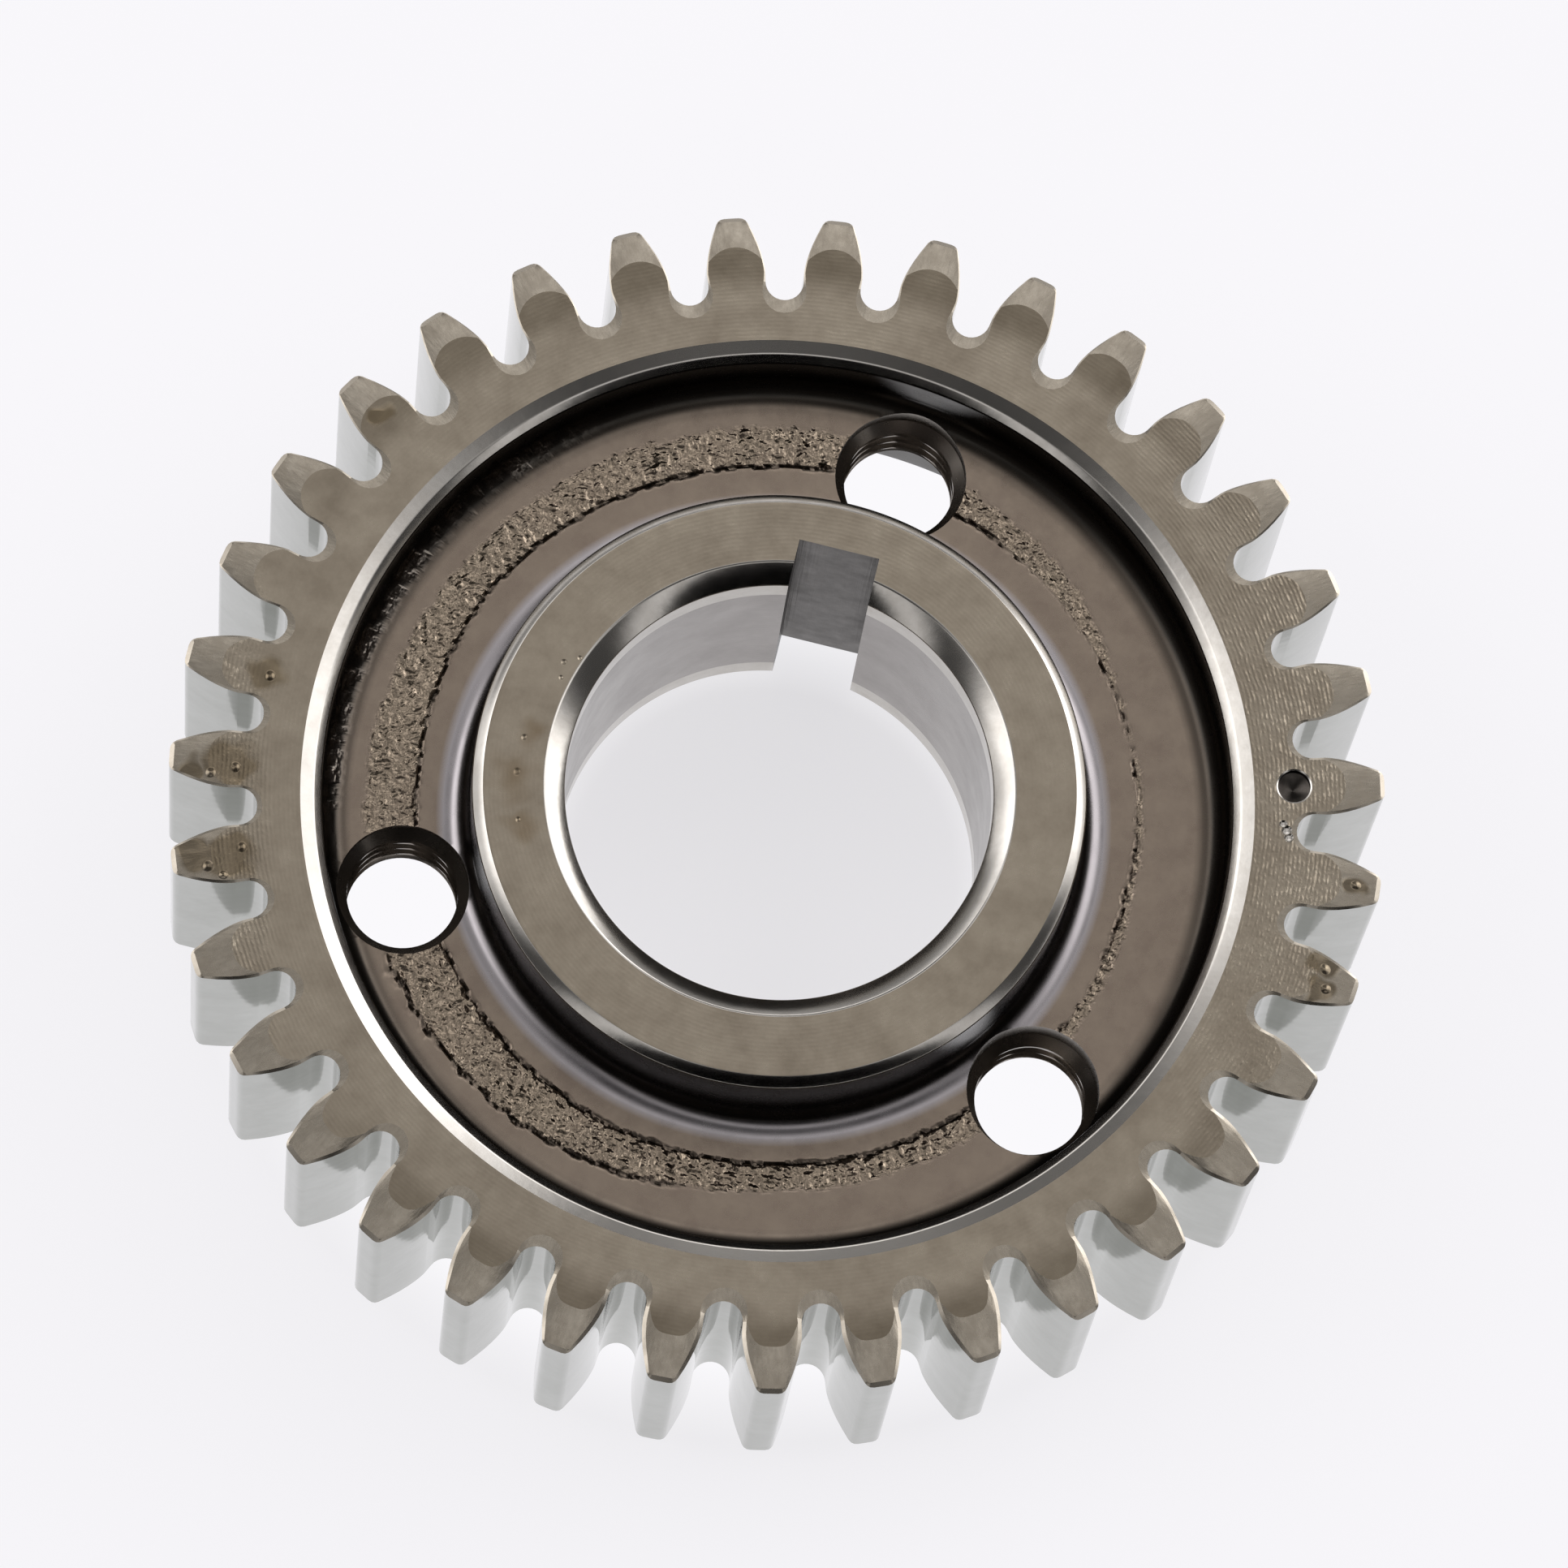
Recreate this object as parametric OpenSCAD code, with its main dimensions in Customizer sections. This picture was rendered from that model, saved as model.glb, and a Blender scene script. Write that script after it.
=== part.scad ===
// Balance shaft gear: a one-piece steel spur gear on a keyed hub.
// The gear axis is Z, the hub's back face lies at z = 0 and the keyway points along +Y.
// Millimetres. The blank is turned, the teeth are cut through it, then it is broached and drilled.

/* [Teeth] */
// Number of teeth
teeth = 35; // [33:1:45]
// Module: pitch diameter divided by the number of teeth
gear_module = 2; // [1.9:0.05:2.4]
// Pressure angle of the involute flanks, in degrees
pressure_angle = 17.5; // [14.5:0.5:20]
// Depth of a tooth gap, from the tip circle to the root circle
tooth_depth = 5.4; // [4.8:0.1:5.8]
// Thinning of each tooth on the pitch circle, for running play
tooth_thinning = 0.06; // [0:0.02:0.2]
// Break on the two long corners of each tooth tip
tip_break = 0.25; // [0.1:0.05:0.4]
// Width of the toothed rim along the axis
face_w = 17; // [14:0.5:24]

/* [Tooth ends] */
// Radial width of the chamfer at the tip of each tooth end
tip_chamfer_w = 0.55; // [0.2:0.05:0.8]
// Axial height of that chamfer
tip_chamfer_h = 0.35; // [0.2:0.05:0.8]
// Radial width of the shallow dressed relief behind the tip chamfer
end_relief_w = 2; // [1:0.1:2.6]
// Axial drop of that relief
end_relief_h = 0.12; // [0.05:0.01:0.3]

/* [Hub and bore] */
// Bore diameter
bore_d = 26; // [22:0.5:28]
// Chamfer at both ends of the bore
bore_chamfer = 1.25; // [0.5:0.05:1.6]
// Hub diameter
hub_d = 37.3; // [36:0.1:40]
// Chamfer on the hub's outer edges
hub_chamfer = 0.65; // [0.3:0.05:1]
// How far the hub stands past each face of the rim
hub_proud = 2; // [1:0.1:4]

/* [Keyway] */
// Width of the keyway
key_w = 5; // [4:0.1:6]
// Depth of the keyway floor past the bore wall
key_depth = 2.5; // [1.8:0.1:3]

/* [Web and rim] */
// Thickness of the web between hub and rim
web_t = 6; // [4:0.1:7]
// Depth of the front recess below the rim face
front_recess = 5; // [3:0.1:6]
// Radius in the corners of both recesses
corner_r = 1.6; // [0.8:0.1:2]
// Rim thickness between the recess wall and the root circle
rim_t = 3.9; // [3:0.1:5]
// Radial width of the shallow chamfer inside the rim face
rim_chamfer_w = 0.8; // [0.4:0.05:1.2]
// Axial height of that chamfer
rim_chamfer_h = 0.3; // [0.1:0.05:0.6]
// Steep edge break between that chamfer and the recess wall
rim_lip = 0.5; // [0.2:0.05:0.8]

/* [Puller holes] */
// Wall diameter of a tapped hole, at the thread crests
hole_d = 6.8; // [5:0.1:7]
// Diameter of the plain entry above the thread
entry_d = 8.1; // [7.2:0.1:8.6]
// Depth of the plain entry
entry_depth = 1.2; // [0.4:0.1:2.4]
// Angle of the top hole from the keyway, clockwise, in degrees
top_hole_angle = 6.2; // [0:0.1:20]
// Angle of the right-hand hole from the keyway, clockwise, in degrees
right_hole_angle = 123.7; // [110:0.1:135]
// Angle of the left-hand hole from the keyway, clockwise, in degrees
left_hole_angle = 244.4; // [225:0.1:255]

/* [Timing mark] */
// Angle of the marked tooth from the keyway, clockwise, in degrees
mark_angle = 74.6; // [60:0.1:90]
// Diameter of the drilled dot
mark_d = 2; // [1.2:0.1:2.4]
// Depth of the dot's straight wall
mark_depth = 0.6; // [0.3:0.1:1.2]
// Distance of the dot's centre inside the root circle
mark_inset = 0.15; // [0:0.05:0.6]

/* [Hidden] */
$fn = 96;
past = 1; // how far a cut runs past the face it opens
flank_steps = 6;
root_steps = 8;
corner_steps = 8;
drill_point = 118;

// Radii of the tooth system
pitch_r = gear_module * teeth / 2;
base_r = pitch_r * cos(pressure_angle);
tip_r = pitch_r + gear_module;
root_r = tip_r - tooth_depth;
pitch_step = 360 / teeth;

// Involute function in degrees, and half the angle that a tooth spans at the base circle
function involute(a) = tan(a) * 180 / PI - a;
half_pitch_tooth = pitch_step / 4 - tooth_thinning / 2 / pitch_r * 180 / PI;
half_base_tooth = half_pitch_tooth + involute(pressure_angle);
function half_tooth(r) = half_base_tooth - involute(acos(base_r / r));

// Full-round root: an arc that touches the root circle and both radial flank feet
half_gap = pitch_step / 2 - half_base_tooth;
root_round = root_r * sin(half_gap) / (1 - sin(half_gap));

// Heights along the axis
hub_len = face_w + 2 * hub_proud;
rim_back = hub_proud;
rim_front = hub_proud + face_w;
web_front = rim_front - front_recess;
web_back = web_front - web_t;

// Radii of the blank
bore_r = bore_d / 2;
hub_r = hub_d / 2;
recess_r = root_r - rim_t;
rim_edge_r = recess_r + rim_lip + rim_chamfer_w;
lip_h = rim_chamfer_h + rim_lip;
relief_r = tip_r - tip_chamfer_w - end_relief_w;
tip_slope = tip_chamfer_h / tip_chamfer_w;
over_r = tip_r + past;
over_h = end_relief_h + tip_slope * (over_r - tip_r + tip_chamfer_w);

// Puller holes lie midway across the web
hole_circle_r = (hub_r + recess_r) / 2;
hole_cone_h = (entry_d - hole_d) / 2;
mark_r = root_r - mark_inset;
mark_tip_h = mark_d / 2 / tan(drill_point / 2);

function polar(r, a) = [r * cos(a), r * sin(a)];
function turn(p, a) = [p[0] * cos(a) - p[1] * sin(a), p[0] * sin(a) + p[1] * cos(a)];
function arc(center, r, from, to, steps) =
    [for (i = [0:steps]) center + polar(r, from + (to - from) * i / steps)];

// Rising flank of a tooth on angle 0, as [radius, half angle] from the base circle to the tip break
tip_flank_r = tip_r - tip_break;
tip_roll = tan(acos(base_r / tip_flank_r));
flank = [for (i = [0:flank_steps])
    let (r = base_r * sqrt(1 + pow(tip_roll * i / flank_steps, 2))) [r, half_tooth(r)]];
tip_half = half_tooth(tip_flank_r) - tip_break / tip_r * 180 / PI;

// Outline of the gap before a tooth and of the tooth itself, with the tooth on angle a
function tooth_outline(a) = concat(
    [for (p = arc([root_r + root_round, 0], root_round, 270 - half_gap, 90 + half_gap, root_steps))
        turn(p, a - pitch_step / 2)],
    [for (f = flank) polar(f[0], a - f[1])],
    [polar(tip_r, a - tip_half), polar(tip_r, a + tip_half)],
    [for (i = [flank_steps:-1:0]) polar(flank[i][0], a + flank[i][1])]
);

function gear_outline() =
    [for (k = [0:teeth - 1]) each tooth_outline(90 - mark_angle + k * pitch_step)];

// Half section of the turned blank, as [radius, height]
function recess_back() = concat(
    arc([hub_r + corner_r, web_back - corner_r], corner_r, 180, 90, corner_steps),
    arc([recess_r - corner_r, web_back - corner_r], corner_r, 90, 0, corner_steps)
);

function recess_front() = concat(
    arc([recess_r - corner_r, web_front + corner_r], corner_r, 0, -90, corner_steps),
    arc([hub_r + corner_r, web_front + corner_r], corner_r, -90, -180, corner_steps)
);

function rim_end(face, dir) = [
    [recess_r, face + dir * lip_h],
    [recess_r + rim_lip, face + dir * rim_chamfer_h],
    [rim_edge_r, face],
    [relief_r, face],
    [tip_r - tip_chamfer_w, face + dir * end_relief_h],
    [over_r, face + dir * over_h]
];

function reversed(list) = [for (i = [len(list) - 1:-1:0]) list[i]];

module turned_blank() {
    rotate_extrude()
        polygon(concat(
            [[bore_r + bore_chamfer, 0], [hub_r - hub_chamfer, 0], [hub_r, hub_chamfer]],
            recess_back(),
            rim_end(rim_back, 1),
            reversed(rim_end(rim_front, -1)),
            recess_front(),
            [[hub_r, hub_len - hub_chamfer], [hub_r - hub_chamfer, hub_len]],
            [[bore_r + bore_chamfer, hub_len], [bore_r, hub_len - bore_chamfer], [bore_r, bore_chamfer]]
        ));
}

module toothed_prism() {
    translate([0, 0, -past])
        linear_extrude(hub_len + 2 * past)
            polygon(gear_outline());
}

module keyway_cut() {
    translate([-key_w / 2, 0, -past])
        cube([key_w, bore_r + key_depth, hub_len + 2 * past]);
}

// One puller hole on the Z axis: back countersink, tapped wall and plain entry
module puller_hole_cut() {
    entry_floor = web_front - entry_depth;
    rotate_extrude()
        polygon([
            [0, web_back - past],
            [entry_d / 2 + past, web_back - past],
            [hole_d / 2, web_back + hole_cone_h],
            [hole_d / 2, entry_floor - hole_cone_h],
            [entry_d / 2, entry_floor],
            [entry_d / 2, rim_front + past],
            [0, rim_front + past]
        ]);
}

// The timing dot on the Z axis: a straight wall above a drill point
module timing_mark_cut() {
    mark_floor = rim_front - mark_depth;
    rotate_extrude()
        polygon([
            [0, mark_floor - mark_tip_h],
            [mark_d / 2, mark_floor],
            [mark_d / 2, rim_front + past],
            [0, rim_front + past]
        ]);
}

module balance_gear() {
    color([0.5, 0.47, 0.43])
        difference() {
            intersection() {
                turned_blank();
                toothed_prism();
            }
            keyway_cut();
            for (a = [top_hole_angle, right_hole_angle, left_hole_angle])
                rotate(90 - a)
                    translate([hole_circle_r, 0, 0])
                        puller_hole_cut();
            rotate(90 - mark_angle)
                translate([mark_r, 0, 0])
                    timing_mark_cut();
        }
}

balance_gear();
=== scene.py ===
# %% [markdown]
# # Dressing a balance shaft gear
#
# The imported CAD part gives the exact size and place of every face. This lesson builds the surface that a
# person sees around it: the same gear, with brushed tooth ends, cut threads, forging skin in the recess
# and oiled steel. The gear axis is Z, the hub's back face lies on the floor and the keyway points along
# +Y.

import math

import bmesh
import bpy
import numpy as np
from mathutils import Matrix, Vector, geometry, noise


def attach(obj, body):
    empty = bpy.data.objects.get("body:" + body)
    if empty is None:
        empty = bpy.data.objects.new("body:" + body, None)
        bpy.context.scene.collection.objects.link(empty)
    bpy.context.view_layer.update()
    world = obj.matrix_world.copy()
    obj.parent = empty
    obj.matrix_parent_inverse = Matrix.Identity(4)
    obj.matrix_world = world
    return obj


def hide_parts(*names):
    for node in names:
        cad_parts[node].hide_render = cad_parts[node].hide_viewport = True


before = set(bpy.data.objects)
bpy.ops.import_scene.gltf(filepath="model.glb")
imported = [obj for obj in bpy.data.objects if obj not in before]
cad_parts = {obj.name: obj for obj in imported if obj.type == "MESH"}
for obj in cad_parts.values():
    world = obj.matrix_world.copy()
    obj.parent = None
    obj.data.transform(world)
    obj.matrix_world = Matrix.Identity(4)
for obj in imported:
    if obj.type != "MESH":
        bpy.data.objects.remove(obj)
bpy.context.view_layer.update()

# %% [markdown]
# ## Sizes
#
# All sizes are in millimetres and match the CAD source. The tooth system is module 2 with 35 teeth.
# Angles are those of the part. An angle that was read in the photo is counted from the photo's right-hand
# side, and becomes an angle of the part when PHOTO_TURN is added.

# %% Sizes
MM = 0.001
PHOTO_TURN = 15.5
TEETH, MODULE, PRESSURE = 35, 2.0, math.radians(17.5)
TIP_R, ROOT_R, THINNING, TIP_ROUND = 37.0, 31.6, 0.06, 0.36
RIM_BACK, RIM_FRONT, HUB_LEN = 2.0, 19.0, 21.0
BORE_R, BORE_CHAMFER, HUB_R, HUB_CHAMFER = 13.0, 1.25, 18.65, 0.65
WEB_BACK, WEB_FRONT, CORNER_R, RECESS_R = 8.0, 14.0, 1.6, 27.7
RIM_EDGE_R, RIM_LIP, RIM_CHAMFER_H = 29.0, 0.5, 0.3
MARK_ANGLE, MARK_CIRCLE_R, MARK_R, MARK_DEPTH = 15.4, 31.45, 1.0, 0.6

PITCH_R = MODULE * TEETH / 2
BASE_R = PITCH_R * math.cos(PRESSURE)
STEP = 2 * math.pi / TEETH
COARSE, FINE = TEETH * 8, TEETH * 32
print(f"pitch radius {PITCH_R} mm, base radius {BASE_R:.2f} mm")
print(f"{COARSE} and {FINE} columns round the gear")

# %% [markdown]
# ## A skin that grows piece by piece
#
# The gear is one closed surface. Each step below adds faces to one list, with the finish that the face
# gets, and rows that meet share the same points. At the end the points are welded, which gives one
# watertight mesh. Joining many solids with booleans would work too, but rows keep every edge where the
# maker's tool put it.

# %% Skin lists
FINISHES = ["turned", "brushed", "burnished", "hobbed", "chamfered", "skimmed", "bored", "broached",
            "tapped", "drilled"]
skin = {"points": [], "count": 0, "faces": [], "finish": []}


def add_faces(points, faces, finish):
    """Adds faces, which index into points, to the skin."""
    start = skin["count"]
    skin["points"].append(np.asarray(points, float).reshape(-1, 3))
    skin["count"] += len(skin["points"][-1])
    skin["faces"] += [[start + i for i in face] for face in faces]
    skin["finish"] += [FINISHES.index(finish)] * len(faces)


def add_rows(rows, finish):
    """Joins closed rows of points with quads; a row may have a whole multiple of its neighbour's points."""
    for a, b in zip(rows[:-1], rows[1:]):
        few, many = (a, b) if len(a) <= len(b) else (b, a)
        n, k = len(few), len(many) // len(few)
        faces = []
        for i in range(n):
            side = [n + (i * k + j) % (n * k) for j in range(k + 1)]
            faces.append([(i + 1) % n, i] + side)
        add_faces(np.concatenate([few, many]), faces, finish)


def ring(radius, height, columns):
    """One closed row of points on a circle round the gear axis, starting at the middle of a tooth gap."""
    a = math.radians(MARK_ANGLE) - STEP / 2 + np.arange(columns) * 2 * math.pi / columns
    radius, height = np.broadcast_to(radius, a.shape), np.broadcast_to(height, a.shape)
    return np.stack([radius * np.cos(a), radius * np.sin(a), height], 1)


print("steel finishes:", ", ".join(FINISHES))

# %% [markdown]
# ## Tooth profile
#
# A hob rolls the teeth out of the blank, which gives involute flanks and a fully rounded root. A drawn
# curve could be traced instead, but the formula is exact for any size. Half a tooth is computed from the
# middle of the gap to the middle of the tooth, and the other half is its mirror image.

# %% Tooth profile
ROOT_POINTS, FLANK_POINTS = 8, 9


def involute(a):
    return math.tan(a) - a


HALF_BASE = math.pi / 2 / TEETH - THINNING / 2 / PITCH_R + involute(PRESSURE)
HALF_GAP = STEP / 2 - HALF_BASE
ROOT_ROUND = ROOT_R * math.sin(HALF_GAP) / (1 - math.sin(HALF_GAP))


def half_angle(r):
    """Half the angle that a tooth spans at radius r, which stays constant below the base circle."""
    return HALF_BASE - (involute(math.acos(BASE_R / r)) if r > BASE_R else 0.0)


def half_profile():
    """Points [x, y] from the gap's middle to the tooth's middle, for a tooth on angle 0."""
    points = []
    c, s = math.cos(-STEP / 2), math.sin(-STEP / 2)
    for i in range(ROOT_POINTS):
        a = math.pi - (math.pi / 2 - HALF_GAP) * i / (ROOT_POINTS - 1)
        x = ROOT_R + ROOT_ROUND + ROOT_ROUND * math.cos(a)
        y = ROOT_ROUND * math.sin(a)
        points.append((x * c - y * s, x * s + y * c))
    top = TIP_R - TIP_ROUND
    roll = math.tan(math.acos(BASE_R / top))
    for i in range(FLANK_POINTS):
        r = BASE_R * math.sqrt(1 + (roll * i / (FLANK_POINTS - 1)) ** 2)
        points.append((r * math.cos(-half_angle(r)), r * math.sin(-half_angle(r))))
    corner, land = half_angle(TIP_R), half_angle(TIP_R) - TIP_ROUND / TIP_R
    for t in (1 / 3, 2 / 3, 1.0):
        r = TIP_R - TIP_ROUND * (1 - t) ** 2
        a = (1 - t) ** 2 * half_angle(top) + 2 * t * (1 - t) * corner + t ** 2 * land
        points.append((r * math.cos(-a), r * math.sin(-a)))
    for a in (land / 2, 0.0):
        points.append((TIP_R * math.cos(-a), TIP_R * math.sin(-a)))
    return np.array(points)


def turned_by(points, a):
    """Points [x, y] turned by the angle a about the gear axis."""
    c, s = math.cos(a), math.sin(a)
    return np.asarray(points) @ np.array([[c, s], [-s, c]])


def tooth_angle(tooth):
    return math.radians(MARK_ANGLE) + STEP * tooth


half = half_profile()
profile = np.concatenate([half, half[-2:0:-1] * [1, -1]])
COLUMNS = len(profile)
outline = np.concatenate([turned_by(profile, tooth_angle(tooth)) for tooth in range(TEETH)])
along = np.roll(outline, -1, 0) - np.roll(outline, 1, 0)
outward = np.stack([along[:, 1], -along[:, 0]], 1) / np.linalg.norm(along, axis=1)[:, None]
print(f"{COLUMNS} points a tooth, tip land {2 * (TIP_R * half_angle(TIP_R) - TIP_ROUND):.2f} mm wide")

# %% [markdown]
# ## Edges of a tooth's end
#
# After hobbing, the ends of the teeth are dressed on a brush. It breaks the flank edges and rolls the
# root edge off over a wider crescent. A bevel modifier gives one width everywhere, so here three rows of
# points run along the outline, and the width and height of the break follow the radius.

# %% Edges of a tooth's end
ROLL_R, ROLL_W = [31.6, 31.75, 32.0, 32.4, 32.8, 33.2], [0.85, 0.72, 0.5, 0.22, 0.06, 0.0]
BREAK_R = [31.6, 32.2, 33.4, 36.4, 36.8]
BREAK_W, BREAK_H = [0.0, 0.06, 0.24, 0.2, 0.12], [0.0, 0.04, 0.15, 0.12, 0.0]
ROLL_SLOPE = 0.09
ACROSS = (0.0, 0.5, 1.0)

profile_r = np.hypot(profile[:, 0], profile[:, 1])
roll_w = np.interp(profile_r, ROLL_R, ROLL_W)
break_w = np.interp(profile_r, BREAK_R, BREAK_W)
break_h = np.interp(profile_r, BREAK_R, BREAK_H)


def edge_rows(tooth, worn, rolled):
    """Rows across the broken edge of a tooth on angle 0, from the outline inward, and the break's height.

    Worn is the share of the full break that the flanks got, rolled that of the root at each outline point.
    """
    pick = np.arange(tooth * COLUMNS, (tooth + 1) * COLUMNS + 1) % len(outline)
    roll = rolled[pick] * roll_w[pick % COLUMNS]
    width = roll + worn * break_w[pick % COLUMNS]
    height = ROLL_SLOPE * roll + worn * break_h[pick % COLUMNS]
    inward = outward[pick] * width[:, None]
    rows = [turned_by(outline[pick] - inward * t, -tooth_angle(tooth)) for t in ACROSS]
    return pick, rows, height


print(f"edges: up to {max(ROLL_W)} mm wide at the root and {max(BREAK_W)} mm on the flanks")

# %% [markdown]
# ## Facet of a tooth's end
#
# The brush also left a shallow facet, from a domed line out to the tip, where a small chamfer ends it.
# That is a height field over the rim face. So each tooth's end is triangulated in the plane, with the
# dome and the chamfer as fixed edges, and then each point drops by the right amount.

# %% Facet of a tooth's end
SIDE_R = [29.0, 29.5, 30.0, 30.4]
TIP_CHAMFER_R, GRID_END_R, GRID_HALF = 36.72, 36.8, 2.6
GRID_MM, CLEAR_MM, CLEAR_ANGLE = 0.4, 0.15, 0.006
FACET_SLOPE, TIP_SLOPE = 0.085, 0.55
FOOT_SPAN, TIP_SPAN = (5, 16), (12, 20)


def nearest(radii, target, span):
    """The outline point, among those of a span, whose radius is nearest to the target."""
    return span[0] + int(np.argmin(np.abs(radii[span[0]:span[1]] - target)))


def dome_at(y, dome):
    """Radius at which the flat part of a tooth's end stops, at a distance y from the tooth's middle."""
    return dome["peak"] - dome["fall"] * np.abs(y) ** dome["square"]


def end_drop(points, dome):
    """Drop below the rim face, distance past the dome and radius, at points of a tooth's end."""
    r = np.hypot(points[:, 0], points[:, 1])
    past = r - dome_at(np.minimum(np.abs(points[:, 1]), dome["half"]), dome)
    drop = FACET_SLOPE * np.clip(past, 0, None) + TIP_SLOPE * np.clip(r - TIP_CHAMFER_R, 0, None)
    return drop, past, r


def end_plan(inner, facing, first, dome):
    """Points and triangles of a tooth's end in the plane, inside the inner row of its broken edge."""
    left = [(r * math.cos(-STEP / 2), r * math.sin(-STEP / 2)) for r in SIDE_R]
    right = [(x, -y) for x, y in left]
    turns = np.linspace(STEP / 2, -STEP / 2, COARSE // TEETH + 1)[1:-1]
    arc = [(SIDE_R[0] * math.cos(a), SIDE_R[0] * math.sin(a)) for a in turns]
    points = [tuple(p) for p in inner] + right[::-1] + arc + left
    edges = [(i, (i + 1) % len(points)) for i in range(len(points))]
    chamfer = nearest(np.hypot(inner[:, 0], inner[:, 1]), TIP_CHAMFER_R, TIP_SPAN)
    for start, radius_at in ((first, lambda y: dome_at(y, dome)), (chamfer, lambda y: TIP_CHAMFER_R)):
        chain = [start]
        for y in np.linspace(inner[start, 1], -inner[start, 1], 13)[1:-1]:
            chain.append(len(points))
            points.append((math.sqrt(radius_at(y) ** 2 - y * y), y))
        chain.append(len(inner) - 1 - start)
        edges += list(zip(chain[:-1], chain[1:]))
    for r in np.arange(SIDE_R[1], GRID_END_R, GRID_MM):
        for y in np.arange(-GRID_HALF, GRID_HALF + 0.01, GRID_MM):
            p = np.array([math.sqrt(r * r - y * y), y])
            away = np.hypot(inner[:, 0] - p[0], inner[:, 1] - p[1])
            near = np.argmin(away)
            inside = np.dot(inner[near] - p, facing[near]) > 0
            clear = min(away[near], abs(r - TIP_CHAMFER_R), abs(r - dome_at(y, dome))) > CLEAR_MM
            if inside and clear and abs(math.atan2(p[1], p[0])) < STEP / 2 - CLEAR_ANGLE:
                points.append(tuple(p))
    made = geometry.delaunay_2d_cdt([Vector(p) for p in points], edges, [], 1, 1e-6)
    return np.array([v[:] for v in made[0]]), [list(t) for t in made[2]]


print(f"facet: falls {FACET_SLOPE} mm a millimetre, tip chamfer from radius {TIP_CHAMFER_R} mm")

# %% [markdown]
# ## All tooth ends
#
# The brush worked by hand, so no two ends are alike. Dome, edge break and root crescent change slowly
# from the photo's top to its bottom, and a little noise moves each dome. The hidden back gets the mean of
# the front.

# %% All tooth ends
ROOT_END_R = 32.5
PEAK_R, FOOT_BELOW, DOME_POWER = 34.6, 1.15, 3.0
BACK_FOOT_R, BACK_WORN, BACK_ROLLED = 33.6, 0.6, 0.7


def tooth_end(tooth, face, side, shape, worn, rolled):
    """Adds one tooth's end, from the rim's inner edge to the outline; side is 1 in front and -1 at the back.

    Shape is (peak, foot, square): the dome's radius in the middle, its radius at the flanks and its power.
    """
    peak, foot, square = shape
    pick, rows, height = edge_rows(tooth, worn, rolled)
    inner, n, turn = rows[-1], len(pick), tooth_angle(tooth)
    r_in = np.hypot(inner[:, 0], inner[:, 1])
    first = nearest(r_in, foot, FOOT_SPAN)
    half_w = -inner[first, 1]
    dome = {"peak": peak, "square": square, "half": half_w, "fall": (peak - r_in[first]) / half_w ** square}
    strip = []
    for row, t in zip(rows, ACROSS):
        down = end_drop(row, dome)[0] + height * (1 - t)
        strip.append(np.column_stack([turned_by(row, turn), face - side * down]))
    at_root = profile_r[pick % COLUMNS] < ROOT_END_R
    for finish, those in (("brushed", at_root), ("burnished", ~at_root)):
        quads = [[j * n + i, j * n + i + 1, (j + 1) * n + i + 1, (j + 1) * n + i]
                 for j in (0, 1) for i in range(n - 1) if those[i]]
        add_faces(np.concatenate(strip), quads, finish)
    flat, triangles = end_plan(inner, turned_by(outward[pick], -turn), first, dome)
    solid = np.column_stack([turned_by(flat, turn), face - side * end_drop(flat, dome)[0]])
    past, r = end_drop(np.array([flat[t].mean(0) for t in triangles]), dome)[1:]
    for finish, those in (("turned", past <= 0), ("brushed", (past > 0) & (r < TIP_CHAMFER_R)),
                          ("burnished", r >= TIP_CHAMFER_R)):
        add_faces(solid, [t for t, yes in zip(triangles, those) if yes], finish)
    return strip[0]


fronts, backs = [], []
upward = np.sin(np.arctan2(outline[:, 1], outline[:, 0]) - math.radians(PHOTO_TURN))
front_rolled, back_rolled = 0.35 + 0.65 * np.abs(upward), np.full(len(outline), BACK_ROLLED)
for tooth in range(TEETH):
    up = math.sin(tooth_angle(tooth) - math.radians(PHOTO_TURN))
    wobble = 0.12 * noise.noise(Vector((tooth * 1.7, 3.1, 0.0)))
    peak = PEAK_R + 0.42 * up + wobble
    front_shape = (peak, peak - FOOT_BELOW + 0.4 * up, DOME_POWER - 0.8 * up)
    back_shape = (PEAK_R + wobble, BACK_FOOT_R - wobble, DOME_POWER)
    fronts.append(tooth_end(tooth, RIM_FRONT, 1, front_shape, 0.65 - 0.35 * up, front_rolled)[:-1])
    backs.append(tooth_end(tooth, RIM_BACK, -1, back_shape, BACK_WORN, back_rolled)[:-1])
front_edge, back_edge = np.concatenate(fronts), np.concatenate(backs)
print(f"tooth ends: {len(skin['faces'])} faces")

# %% [markdown]
# ## Flanks
#
# The flanks, roots and tip lands run straight along the axis. So they are rows of the same outline, and
# one row in the middle is enough.

# %% Flanks
middle = np.column_stack([outline, np.full(len(outline), HUB_LEN / 2)])
add_rows([front_edge, middle, back_edge], "hobbed")
print(f"flanks: {len(outline)} columns")

# %% [markdown]
# ## Turned section
#
# Everything inside the rim face is turned on a lathe: the recess on both sides, the hub and the bore. It
# is one section revolved about the axis, as on the real lathe. Corners get a small radius, as a tool
# never leaves a perfectly sharp edge. The chamfers are a little flatter than 45 degrees, which is how
# they catch the light.

# %% Turned section
LIP_SHARE, HUB_SHARE, BORE_SHARE = 0.92, 0.9, 0.84
MOUTH_DEPTH, BORE_MOUTH = 1.6, 3.0
LIP_ROUND, HUB_ROUND = 0.1, 0.09


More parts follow.
